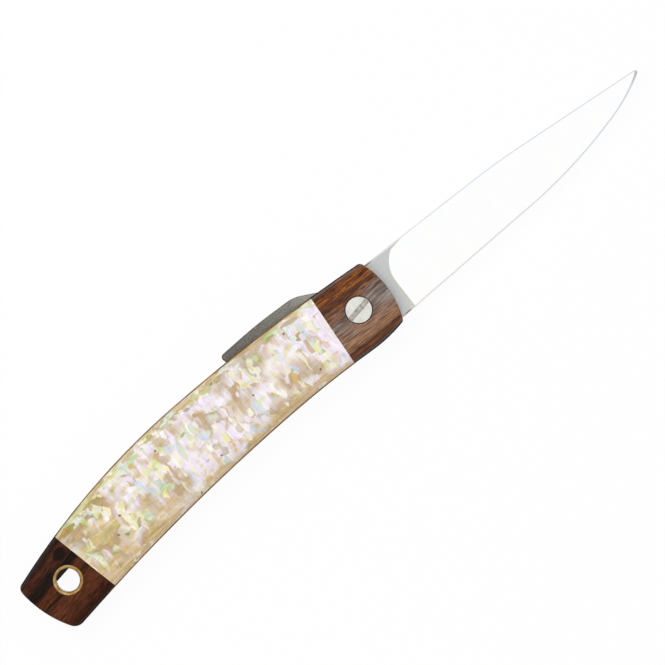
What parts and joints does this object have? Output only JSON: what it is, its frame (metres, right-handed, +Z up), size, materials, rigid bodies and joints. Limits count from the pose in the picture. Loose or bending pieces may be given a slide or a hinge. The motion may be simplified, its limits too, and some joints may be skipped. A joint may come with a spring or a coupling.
{
  "type": "folding pocket knife",
  "caption": "Friction folding pocket knife with a lever tail, curved handle of hardwood bolsters and shell panels, and a brass lanyard eyelet.",
  "frame": {"origin": "on the surface that the open knife lies on, under the middle of its length and width", "axes": "+X along the handle to the tip, +Y to the back of the knife, +Z up through its right side"},
  "size_m": [0.212, 0.0292, 0.0139],
  "materials": {
    "blade_steel": "stainless steel, mirror polished on the grind, satin on ricasso and lever",
    "bolster_wood": "polished red-brown streaked hardwood",
    "shell": "polished mother-of-pearl laminate",
    "end_wood": "polished dark hardwood",
    "dark_wood": "oiled dark hardwood",
    "liner_steel": "ground sheet steel",
    "pin_steel": "bright drawn steel",
    "screw_steel": "polished turned steel",
    "washer_bronze": "rolled bronze",
    "eyelet_brass": "polished brass"
  },
  "bodies": {
    "handle": {"bolster_right": "bolster_wood", "bolster_left": "bolster_wood", "shell_panel_right": "shell", "shell_panel_left": "shell", "end_block_right": "end_wood", "end_block_left": "end_wood", "backing_right": "dark_wood", "backing_left": "dark_wood", "liner_right": "liner_steel", "liner_left": "liner_steel", "back_spacer": "dark_wood", "stop_pin": "pin_steel", "spacer_pins": "pin_steel", "bolster_dowels": "pin_steel", "end_block_dowels": "pin_steel", "pivot_screw": "screw_steel", "pivot_nut": "screw_steel", "washer_right": "washer_bronze", "washer_left": "washer_bronze", "lanyard_eyelet_right": "eyelet_brass", "lanyard_eyelet_left": "eyelet_brass"},
    "blade": {"blade": "blade_steel"}
  },
  "joints": [
    {"name": "blade_pivot", "type": "hinge", "parent": "handle", "child": "blade", "pos_m": [0.00957, -0.0001, 0.00697], "axis": [0, 0, -1], "range_deg": [0, 175]}
  ]
}
